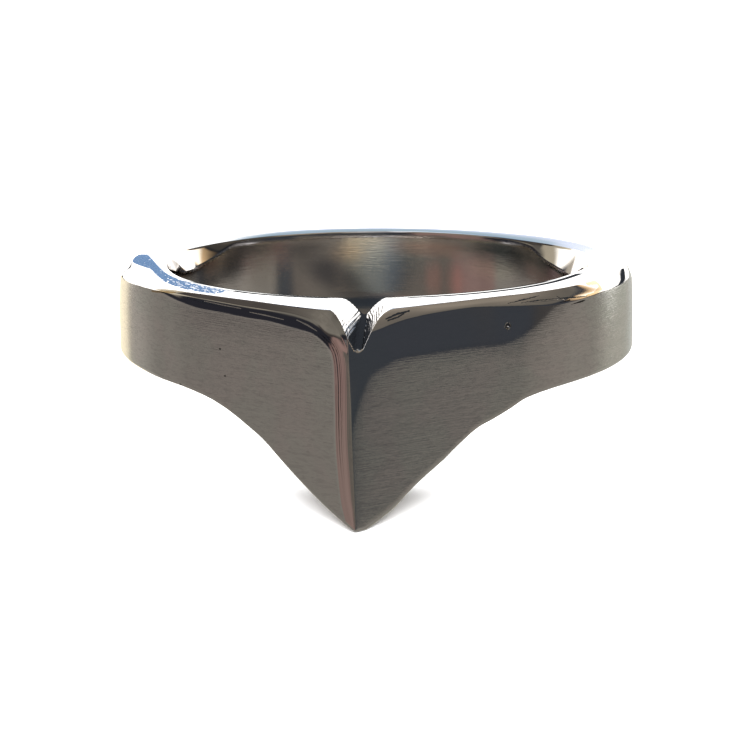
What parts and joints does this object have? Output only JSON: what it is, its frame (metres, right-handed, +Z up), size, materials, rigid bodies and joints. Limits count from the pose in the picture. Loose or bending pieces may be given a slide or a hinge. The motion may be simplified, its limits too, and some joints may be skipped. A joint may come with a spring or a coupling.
{
  "type": "pointed signet-style finger ring",
  "caption": "Solid metal finger ring whose front faces meet in an upright ridge, with a V notch in the top rim and a point below.",
  "frame": {"origin": "on the surface the ring lies on, under the middle of its box", "axes": "+Z up, -Y towards the point, so +Y towards the back of the band, +X to the right seen from the front; the finger hole's axis leans 10.4 degrees back from +Z towards +Y, as the ring lies on its point and the back of its band"},
  "size_m": [0.0234, 0.0262, 0.0088],
  "materials": {
    "metal": "satin-brushed front faces and finger hole; polished top face, shoulders and edges; filed notch"
  },
  "bodies": {
    "root": {"ring": "metal"}
  },
  "joints": []
}
